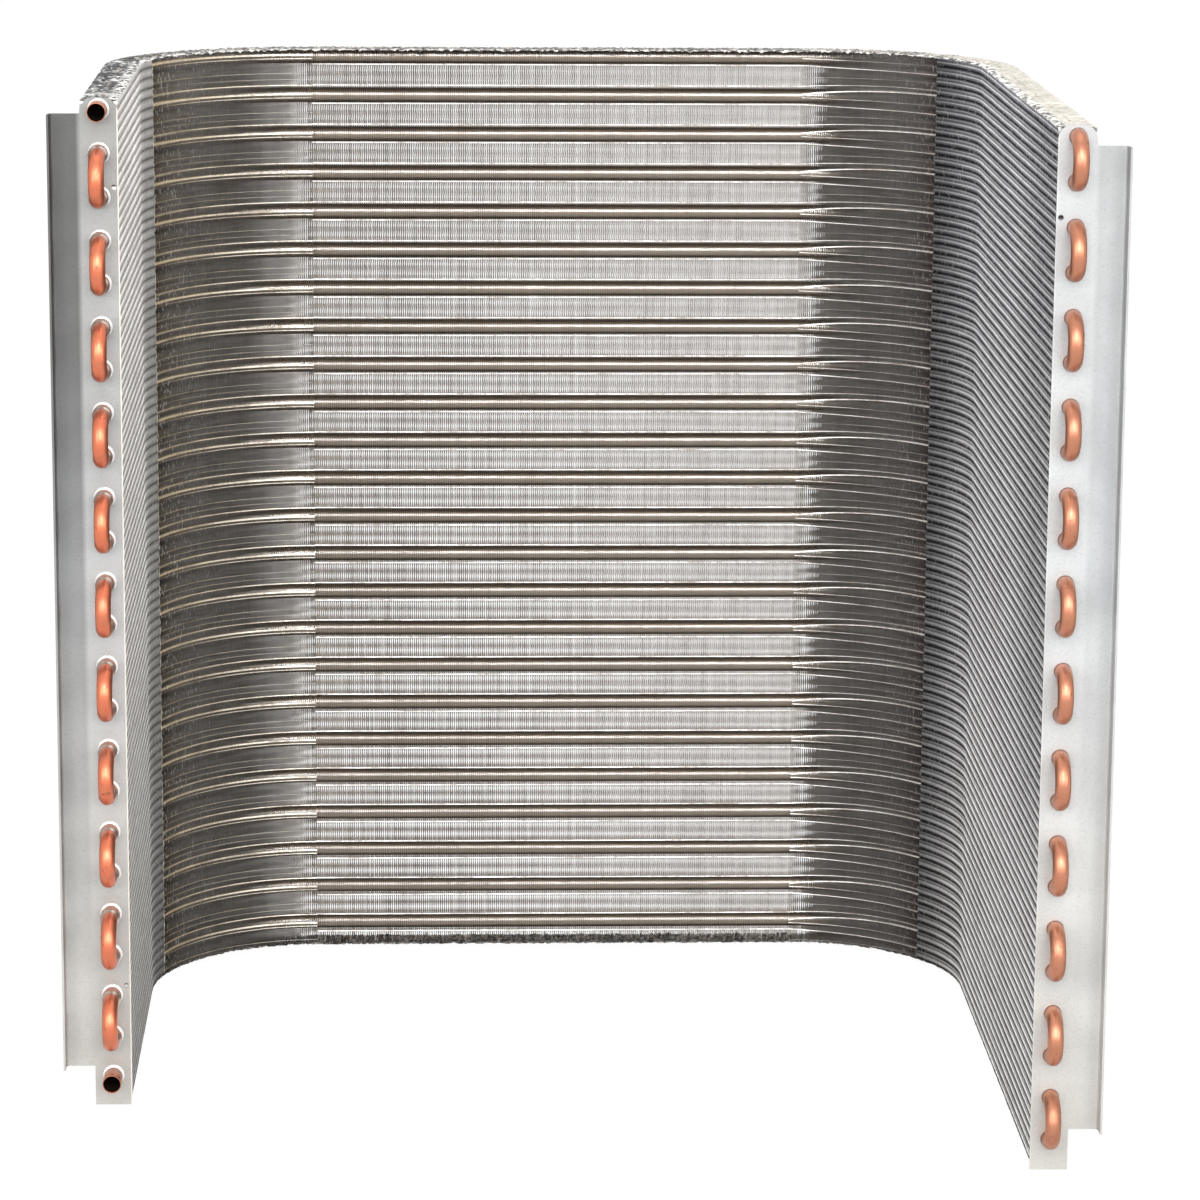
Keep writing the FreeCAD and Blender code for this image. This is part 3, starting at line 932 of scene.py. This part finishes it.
def damage(run, height, sizes):
    """Shift of the inner edges alone by bent patches and nicked fins."""
    total = np.zeros((len(run), len(height)))
    for along, up, half_length, half_height, shift in BENT_PATCHES:
        near = ((run / MM - along) / half_length)[:, None] ** 2
        near = near + ((height / MM - up) / half_height)[None, :] ** 2
        total += shift * MM * np.exp(-near)
    every_second = np.arange(len(height)) % 2 == 0
    for along, low, high in NICKED_FINS:
        fins = np.abs(run - along * MM) < sizes.fin_pitch / 2
        inside = (height > low * MM) & (height < high * MM) & every_second
        total[np.ix_(fins, inside)] += NICK_SHIFT
    return total


def fin_heights(sizes, plan):
    """Heights of the ripple's crests and troughs, with closer steps in the crushed edges."""
    half_ripple = sizes.pitch / sizes.ripples / 2
    first = math.ceil((plan.low - sizes.foot) / half_ripple)
    last = math.floor((plan.high - sizes.foot) / half_ripple)
    crests = sizes.foot + np.arange(first, last + 1) * half_ripple
    crests = crests[1:-1]
    low_part = np.linspace(plan.low + RIM_ROOM, crests[0], EDGE_STEPS)[:-1]
    high_part = np.linspace(crests[-1], plan.high - RIM_ROOM, EDGE_STEPS)[1:]
    return np.concatenate([low_part, crests, high_part])


def make_fins(name, sizes, plan, material, seed):
    """The fins of one stretch, bowed in the middle of their depth but for the arms'."""
    start, end = plan.looks[name]
    count = int(round((end - start) / sizes.fin_pitch))
    run = start + (np.arange(count) + 0.5) * (end - start) / count
    place, heading, outward = plan.line(run)
    height = fin_heights(sizes, plan)
    chance = np.random.default_rng(seed)
    arm = "arm" in name
    ripple = sizes.ripple * (ARM_RIPPLE if arm else FAR_RIPPLE)
    loose = ARM_LOOSE if arm else FAR_LOOSE
    shift = fin_shift(run, height, sizes, ripple)
    columns = []
    half = sizes.depth / 2 - FIN_INSET
    across = (-1, 1) if arm else (-1, 0, 1)
    for side in across:
        slide = shift + edge_shift(run, height, plan, chance, loose)
        if side < 0:
            slide += damage(run, height, sizes)
        if side == 0:
            slide += sizes.bow
        flat = place[:, None, :] + outward[:, None, :] * half * side
        flat = flat + heading[:, None, :] * slide[:, :, None]
        tall = np.broadcast_to(height[None, :, None], (count, len(height), 1))
        columns.append(np.concatenate([flat, tall], axis=2))
    points = np.stack(columns, axis=2).reshape(-1, 3)
    each = len(height) * len(across)
    sheet = grid_faces(len(height), len(across), closed=False)
    faces = (sheet[None, :, :] + (np.arange(count) * each)[:, None, None]).reshape(-1, 4)
    tint = np.repeat(chance.random(count), each)
    share = np.repeat((run - start) / (end - start), each)
    depth = np.tile(np.array(across) * 0.5 + 0.5, count * len(height))
    marks = {"tint": tint, "share": share, "depth": depth}
    piece = add_piece("fins_" + name, points, faces, material, smooth=False, **marks)
    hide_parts("finned_tube_coil")


# The crushed edges: columns across, and how far their points slide and dip.
RIM_COLUMNS = 9
RIM_SLIDE = 0.35 * MM
RIM_DIP = 0.55 * MM
RIM_LEAST_DIP = 0.05 * MM
RIM_EDGE_DIP = 0.5 * MM


def make_rim(name, sizes, plan, material, seed, top):
    """The crushed edge over or under a stretch's fins, as one crumpled sheet."""
    start, end = plan.looks[name]
    count = int(round((end - start) / sizes.fin_pitch)) + 1
    chance = np.random.default_rng(seed)
    run = np.linspace(start, end, count)
    place, heading, outward = plan.line(np.clip(run, 0, plan.length))
    across = np.linspace(-1, 1, RIM_COLUMNS) * (sizes.depth / 2 - RIM_INSET)
    slide = chance.uniform(-RIM_SLIDE, RIM_SLIDE, (count, len(across)))
    slide[0] = 0.0
    slide[-1] = 0.0
    dip = np.abs(chance.normal(0, RIM_DIP, (count, len(across)))) + RIM_LEAST_DIP
    dip[:, 0] += RIM_EDGE_DIP
    dip[:, -1] += RIM_EDGE_DIP
    flat = place[:, None, :] + outward[:, None, :] * across[None, :, None]
    flat = flat + heading[:, None, :] * slide[:, :, None]
    level = plan.high - dip if top else plan.low + dip
    points = np.concatenate([flat, level[:, :, None]], axis=2).reshape(-1, 3)
    faces = grid_faces(count, len(across), closed=False)
    side_name = "top_rim_" if top else "low_rim_"
    edge = np.tile(np.linspace(-1, 1, len(across)), count)
    piece = add_piece(side_name + name, points, faces, material, smooth=False, across=edge)
    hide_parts("finned_tube_coil")


# The crest lines: stations along a stretch, the tilt of their face, how early they reach
# their last height, and how far they stay from the stack's ends.
CREST_STATIONS = 60
CREST_TILT = 0.3 * MM
CREST_EASE = 3
CREST_ROOM = 2 * MM


def make_crest_lines(name, sizes, plan, material):
    """Narrow bands of painted highlight on the ripples' crests beside each tube."""
    start, end = plan.looks[name]
    run = np.linspace(start, end, CREST_STATIONS)
    share = np.linspace(0, 1, len(run))
    settled = 1 - (1 - share) ** CREST_EASE
    place, _, outward = plan.line(run)
    inner = sizes.depth / 2 - CREST_INSET
    heap = Heap()
    for row in range(-1, sizes.rows):
        for first, last, first_half, last_half in CREST_LINES[name]:
            part = first + (last - first) * settled
            half = (first_half + (last_half - first_half) * settled) * MM
            level = row_height(sizes, row) + part * sizes.pitch
            if level.min() < plan.low + CREST_ROOM or level.max() > plan.high - CREST_ROOM:
                continue
            lower = np.c_[place - outward * inner, level - half]
            upper = np.c_[place - outward * (inner - CREST_TILT), level + half]
            points = np.stack([lower, upper], axis=1).reshape(-1, 3)
            heap.add(points, grid_faces(len(run), 2, closed=False), np.repeat(share, 2))
    points, faces, marks = heap.arrays()
    piece = add_piece("crest_lines_" + name, points, faces, material, share=marks)
    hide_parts("finned_tube_coil")


# The seam: its seed, the points up its height and how far they stray along the line, how wide
# and how common the dashes of its painted highlight are, and how far it stays from the stack's
# ends.
SEAM_SEED = 5
SEAM_STEPS = 400
SEAM_STRAY = 0.25 * MM
SEAM_WIDTH = 0.45 * MM
SEAM_SHARE = 0.6
SEAM_ROOM = 3 * MM


def make_seam(sizes, plan, material):
    """The edge of the fin where the left arm turns into its bend, with a painted highlight along it
    in dashes.
    """
    height = np.linspace(plan.low + SEAM_ROOM, plan.high - SEAM_ROOM, SEAM_STEPS)
    chance = np.random.default_rng(SEAM_SEED)
    run = plan.looks["left_bend"][0] + chance.normal(0, SEAM_STRAY, len(height))
    strips = []
    inner = sizes.depth / 2 - SEAM_INSET
    for way in (-1, 1):
        width = SEAM_WIDTH * way * (chance.random(len(height)) < SEAM_SHARE)
        place, _, outward = plan.line(run + width)
        strips.append(np.c_[place - outward * inner, height])
    points = np.stack(strips, axis=1).reshape(-1, 3)
    faces = grid_faces(len(height), 2, closed=False)
    share = np.ones(len(points))
    piece = add_piece("bend_seam", points, faces, material, smooth=False, share=share)
    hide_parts("finned_tube_coil")


class COIL_OT_fins(bpy.types.Operator):
    """Builds every fin of the stack, its crushed edges, its painted crest highlights and the
    painted highlight of its seam
    """
    bl_idname = "coil.fins"
    bl_label = "Fins"

    def execute(self, context):
        sizes = context.scene.coil_sizes
        colours = context.scene.coil_colours
        plan = Plan(sizes)
        for seed, name in enumerate(plan.looks, start=FIN_SEED):
            make_fins(name, sizes, plan, make_foil_finish(colours, sizes, name), seed)
            edge = make_rim_finish(colours, name)
            make_rim(name, sizes, plan, edge, seed + TOP_RIM_SEED, True)
            make_rim(name, sizes, plan, edge, seed + LOW_RIM_SEED, False)
        for name in CREST_LOOKS:
            crests = make_crest_finish(name)
            make_crest_lines(name, sizes, plan, crests)
            if name == "left_bend":
                make_seam(sizes, plan, crests)
        return {"FINISHED"}


# Tube legs in the fins

class COIL_OT_tube_legs(bpy.types.Operator):
    """Runs the tubes through the fins, in their collars"""
    bl_idname = "coil.tube_legs"
    bl_label = "Tube legs"

    around = 28
    corner_steps = 26
    straight_steps = 4

    def execute(self, context):
        sizes = context.scene.coil_sizes
        plan = Plan(sizes)
        heap = Heap()
        stations = [0.0]
        for name, (start, end) in plan.spans.items():
            steps = self.corner_steps if "corner" in name else self.straight_steps
            stations.extend(np.linspace(start, end, steps + 1)[1:].tolist())
        stations = np.array(stations)
        place, _, outward = plan.line(stations)
        count = len(stations)
        sides = np.c_[outward, np.zeros(count)]
        ups = np.tile((0.0, 0.0, 1.0), (count, 1))
        radii = np.full(count, sizes.tube / 2 + sizes.collar)
        for row in range(sizes.rows):
            centres = np.c_[place, np.full(count, row_height(sizes, row))]
            points = sweep(centres, sides, ups, radii, self.around)
            heap.add(points, grid_faces(count, self.around), np.repeat(stations, self.around))
        points, faces, marks = heap.arrays()
        angle = np.arange(self.around) * (math.tau / self.around)
        lift = np.tile(np.sin(angle) * 0.5 + 0.5, len(points) // self.around)
        material = make_collar_finish(sizes)
        piece = add_piece("tube_legs", points, faces, material, run=marks, lift=lift)
        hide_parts("finned_tube_coil")
        return {"FINISHED"}


# Bends

# How much narrower a tube is at the middle of its bend, and how deep the bends' ends are
# buried in the right plate and in the left bells.
BEND_NARROWING = 0.025
HAIRPIN_BURIED = 2 * MM
RETURN_BURIED = 3 * MM

# How brown the copper is, from 0 to 1: hairpins, the lowest of them, return bends and bells.
CLEAN_AGE = 0.05
BROWN_AGE = 0.75
TORCHED_AGE = 0.1
BELL_AGE = 0.1

# How far heat has darkened the hairpins' ends, the brazed bells and the open ones.
HAIRPIN_HEAT = 0.3
BELL_HEAT = 0.75
OPEN_HEAT = 0.2


def half_turn(sizes, x, y, height, straight, buried, around=22, steps=22):
    """Rings of a U of tube that leaves y to the front at x, about a middle height."""
    turn = np.concatenate([[0], np.linspace(0, math.pi, steps + 1), [math.pi]])
    forward, upward = np.sin(turn), np.cos(turn)
    bend = sizes.pitch / 2
    along = y - straight - bend * forward
    along[[0, -1]] = y + buried
    centres = np.c_[np.full(len(turn), x), along, height + bend * upward]
    sides = np.tile((1.0, 0.0, 0.0), (len(turn), 1))
    ups = np.c_[np.zeros(len(turn)), -forward, upward]
    radii = sizes.tube / 2 * (1 - BEND_NARROWING * forward)
    points = sweep(centres, sides, ups, radii, around)
    heat = np.repeat(np.abs(upward) * (1 - forward), around)
    return points, grid_faces(len(turn), around), heat


class COIL_OT_hairpin_bends(bpy.types.Operator):
    """Bends each pair of legs round outside the right end plate"""
    bl_idname = "coil.hairpin_bends"
    bl_label = "Hairpin bends"

    def execute(self, context):
        sizes = context.scene.coil_sizes
        colours = context.scene.coil_colours
        plan = Plan(sizes)
        clean = make_copper_finish(colours, "hairpin_copper", colours.copper, CLEAN_AGE)
        brown = make_copper_finish(colours, "brown_copper", colours.copper, BROWN_AGE)
        front = plan.right_y - sizes.gauge
        for pair in range(sizes.rows // 2):
            height = row_height(sizes, 2 * pair + 0.5)
            points, faces, heat = half_turn(
                sizes, plan.right_x, front, height, sizes.right_straight, HAIRPIN_BURIED)
            material = brown if pair == 0 else clean
            name = "hairpin_bend_%02d" % (pair + 1)
            piece = add_piece(name, points, faces, material, heat=heat * HAIRPIN_HEAT)
            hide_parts("finned_tube_coil")
        return {"FINISHED"}


class COIL_OT_return_bends(bpy.types.Operator):
    """Brazes a return bend into each pair of bells at the left"""
    bl_idname = "coil.return_bends"
    bl_label = "Return bends"

    def execute(self, context):
        sizes = context.scene.coil_sizes
        plan = Plan(sizes)
        colours = context.scene.coil_colours
        material = make_copper_finish(colours, "return_copper", colours.torched, TORCHED_AGE)
        mouth = plan.left_y - sizes.gauge - sizes.neck - sizes.bell
        count = sizes.rows // 2 - 1
        for number in range(1, count + 1):
            height = row_height(sizes, sizes.rows - 1 - 2 * number + 0.5)
            points, faces, heat = half_turn(
                sizes, plan.left_x, mouth, height, sizes.left_straight, RETURN_BURIED)
            name = "return_bend_skin_%02d" % number
            piece = add_piece(name, points, faces, material, heat=heat)
            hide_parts("return_bend_%02d" % number)
        return {"FINISHED"}


# Left tube ends

def lathe(profile, x, height, around=26):
    """Rings of a form turned about a tube's axis; profile is (y, radius)."""
    profile = np.array(profile)
    count = len(profile)
    centres = np.c_[np.full(count, x), profile[:, 0], np.full(count, height)]
    sides = np.tile((1.0, 0.0, 0.0), (count, 1))
    ups = np.tile((0.0, 0.0, 1.0), (count, 1))
    points = sweep(centres, sides, ups, profile[:, 1], around)
    return points, grid_faces(count, around)


class COIL_OT_tube_ends(bpy.types.Operator):
    """Turns the belled tube ends, their braze and the collars of the plate's holes"""
    bl_idname = "coil.tube_ends"
    bl_label = "Tube ends"

    def execute(self, context):
        sizes = context.scene.coil_sizes
        colours = context.scene.coil_colours
        plan = Plan(sizes)
        bells, braze, collars, bores = Heap(), Heap(), Heap(), Heap()
        front = plan.left_y - sizes.gauge
        for row in range(sizes.rows):
            is_open = row in (0, sizes.rows - 1)
            extra = sizes.open_extra if is_open else 0.0
            forms = [
                (bells, self.bell_profile(sizes, front, extra)),
                (collars, self.collar_profile(sizes, front))]
            if is_open:
                forms.append((bores, self.bore_profile(sizes, front)))
            else:
                forms.append((braze, self.braze_profile(sizes, front)))
            heat = OPEN_HEAT if is_open else BELL_HEAT
            for heap, profile in forms:
                points, faces = lathe(profile, plan.left_x, row_height(sizes, row))
                heap.add(points, faces, np.full(len(points), heat))
        copper = make_copper_finish(colours, "bell_copper", colours.copper, BELL_AGE)
        filler = make_filler_finish(colours)
        rim = make_rim_zinc_finish()
        self.add_forms("tube_bells", bells, copper, "copper", True)
        self.add_forms("braze_rings", braze, filler, "copper", False)
        self.add_forms("hole_collars", collars, rim, "galvanised", False)
        self.add_forms("open_bores", bores, make_bore_finish(), "copper", False)
        return {"FINISHED"}

    def add_forms(self, name, heap, material, slot, heated):
        points, faces, marks = heap.arrays()
        values = {"heat": marks} if heated else {}
        piece = add_piece(name, points, faces, material, **values)
        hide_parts("finned_tube_coil")

    def bell_profile(self, sizes, front, extra):
        tube = sizes.tube / 2
        bell = sizes.bell_width / 2
        shoulder = front - sizes.neck
        mouth = shoulder - sizes.bell - extra
        wall = 0.45 * MM
        return [
            (front + 2 * MM, tube),
            (shoulder, tube),
            (shoulder - 0.5 * sizes.taper, tube + 0.35 * (bell - tube)),
            (shoulder - sizes.taper, bell),
            (mouth + 0.3 * MM, bell),
            (mouth, bell - 0.2 * MM),
            (mouth + 0.1 * MM, bell - wall),
            (mouth + 8 * MM, bell - wall),
        ]

    def braze_profile(self, sizes, front):
        tube = sizes.tube / 2
        bell = sizes.bell_width / 2
        mouth = front - sizes.neck - sizes.bell
        return [
            (mouth + 0.35 * MM, bell + 0.02 * MM),
            (mouth - 0.15 * MM, bell - 0.02 * MM),
            (mouth - 0.6 * MM, bell - 0.3 * MM),
            (mouth - 1.1 * MM, tube + 0.25 * MM),
            (mouth - 1.9 * MM, tube - 0.05 * MM),
        ]

    def collar_profile(self, sizes, front):
        tube = sizes.tube / 2
        return [
            (front + 0.2 * MM, tube + 1.8 * MM),
            (front - 0.15 * MM, tube + 1.6 * MM),
            (front - 0.7 * MM, tube + 1.0 * MM),
            (front - 1.1 * MM, tube + 0.5 * MM),
            (front - 1.0 * MM, tube + 0.1 * MM),
            (front - 0.2 * MM, tube + 0.02 * MM),
        ]

    # The open tubes' inside, closed by a disc just behind the plate's front; its near black finish
    # is painted shade.
    def bore_profile(self, sizes, front):
        mouth = front - sizes.neck - sizes.bell - sizes.open_extra
        inner = sizes.bore / 2
        socket = sizes.bell_width / 2 - 0.5 * MM
        return [
            (mouth + 1.2 * MM, socket),
            (mouth + 7.5 * MM, socket),
            (mouth + 8.5 * MM, inner),
            (front + 1.0 * MM, inner),
            (front + 1.0 * MM, 0.01 * MM),
        ]


# End plates

# How light each plate is, and how much painted shade darkens its flange and top and a painted
# highlight lightens its inner edge.
LEFT_ZINC_LIFT = 1.0
LEFT_ZINC_SHADE_AND_HIGHLIGHT = 0.66
RIGHT_ZINC_LIFT = 1.12
RIGHT_ZINC_SHADE_AND_HIGHLIGHT = 0.16


class COIL_OT_end_plates(bpy.types.Operator):
    """Gives both end plates their galvanised finish"""
    bl_idname = "coil.end_plates"
    bl_label = "End plates"

    def execute(self, context):
        colours = context.scene.coil_colours
        sizes = context.scene.coil_sizes
        plan = Plan(sizes)
        left = make_zinc_finish(
            colours, sizes, "left_zinc", LEFT_ZINC_LIFT, plan.left_x, LEFT_ZINC_SHADE_AND_HIGHLIGHT)
        right = make_zinc_finish(
            colours, sizes, "right_zinc", RIGHT_ZINC_LIFT, plan.right_x, RIGHT_ZINC_SHADE_AND_HIGHLIGHT)
        for name, material in (("left_end_plate", left), ("right_end_plate", right)):
            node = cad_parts[name]
            for slot in node.material_slots:
                slot.material = material
        return {"FINISHED"}


# Stage

# The soft lamps: name, place, width and height in metres, and power in watts.
LAMPS = (
    ("front", (0.0, -3.0, 2.3), (2.4, 0.5), 60),
    ("low_front", (0.0, -3.4, 1.25), (2.4, 0.35), 46),
    ("left", (-2.2, -2.4, 1.2), (1.0, 1.6), 34),
    ("right", (2.2, -2.6, 1.2), (1.0, 1.6), 34),
    ("top", (0.0, 0.2, 2.8), (2.0, 1.6), 10),
)
LAMP_AIM = Vector((0, 0, 0.3))

# Strength of the world as it is seen and as it lights the coil.
WORLD_SEEN = 1.0
WORLD_LIGHT = 0.6

# The floor: half its side in metres, its glow where it is seen, and the glow's share there.
FLOOR_HALF = 12.0
FLOOR_GLOW = 1.04
FLOOR_SHARE = 0.93


class COIL_OT_stage(bpy.types.Operator):
    """Sets the pale floor, the soft lamps and the world"""
    bl_idname = "coil.stage"
    bl_label = "Stage"

    def execute(self, context):
        mesh = bpy.data.meshes.new("floor")
        near, far = -FLOOR_HALF, FLOOR_HALF
        corners = [(near, near, 0), (far, near, 0), (far, far, 0), (near, far, 0)]
        mesh.from_pydata(corners, [], [(0, 1, 2, 3)])
        mesh.materials.append(self.floor_finish())
        floor = bpy.data.objects.new("floor", mesh)
        context.scene.collection.objects.link(floor)
        for lamp in LAMPS:
            self.add_lamp(context, *lamp)
        self.add_world(context)
        context.scene.view_settings.view_transform = "Standard"
        return {"FINISHED"}

    def floor_finish(self):
        finish = Finish("floor_white")
        finish.set(Base_Color=(0.86, 0.86, 0.86, 1.0), Roughness=0.9)
        glow = finish.node("ShaderNodeEmission", Color=(1, 1, 1, 1), Strength=FLOOR_GLOW)
        plain = Wire(finish.tree, finish.shader.outputs[0])
        mixed = finish.node(
            "ShaderNodeMixShader", _0=finish.seen() * FLOOR_SHARE, _1=plain, _2=glow)
        connect(finish.tree, finish.tree.nodes["Material Output"].inputs["Surface"], mixed)
        return finish.material

    def add_lamp(self, context, name, place, size, power):
        data = bpy.data.lights.new(name, "AREA")
        data.shape = "RECTANGLE"
        data.size, data.size_y = size
        data.energy = power
        lamp = bpy.data.objects.new(name, data)
        lamp.location = place
        aim = LAMP_AIM - Vector(place)
        lamp.rotation_euler = aim.to_track_quat("-Z", "Y").to_euler()
        context.scene.collection.objects.link(lamp)

    def add_world(self, context):
        world = bpy.data.worlds.new("studio")
        context.scene.world = world
        world.use_nodes = True
        nodes = Nodes(world.node_tree)
        background = nodes.tree.nodes["Background"]
        background.inputs["Color"].default_value = (1, 1, 1, 1)
        strength = nodes.seen() * (WORLD_SEEN - WORLD_LIGHT) + WORLD_LIGHT
        connect(nodes.tree, background.inputs["Strength"], strength)


# Panel and registration

STEPS = ("camera", "fins", "tube_legs", "hairpin_bends", "return_bends", "tube_ends",
         "end_plates", "stage")


class COIL_PT_panel(bpy.types.Panel):
    """Lists the coil's sizes, colours and steps"""
    bl_label = "Condenser Coil"
    bl_idname = "COIL_PT_panel"
    bl_space_type = "VIEW_3D"
    bl_region_type = "UI"
    bl_category = "Coil"

    def draw(self, context):
        for group in (context.scene.coil_sizes, context.scene.coil_colours):
            for key in group.bl_rna.properties.keys():
                if key not in ("rna_type", "name"):
                    self.layout.prop(group, key)
        for step in STEPS:
            self.layout.operator("coil." + step)


CLASSES = (
    CoilSizes,
    CoilColours,
    COIL_OT_camera,
    COIL_OT_fins,
    COIL_OT_tube_legs,
    COIL_OT_hairpin_bends,
    COIL_OT_return_bends,
    COIL_OT_tube_ends,
    COIL_OT_end_plates,
    COIL_OT_stage,
    COIL_PT_panel,
)


def register():
    for item in CLASSES:
        bpy.utils.register_class(item)
    bpy.types.Scene.coil_sizes = PointerProperty(type=CoilSizes)
    bpy.types.Scene.coil_colours = PointerProperty(type=CoilColours)


def unregister():
    del bpy.types.Scene.coil_colours
    del bpy.types.Scene.coil_sizes
    for item in reversed(CLASSES):
        bpy.utils.unregister_class(item)


def main():
    register()
    for step in STEPS:
        getattr(bpy.ops.coil, step)()


if __name__ == "__main__":
    main()
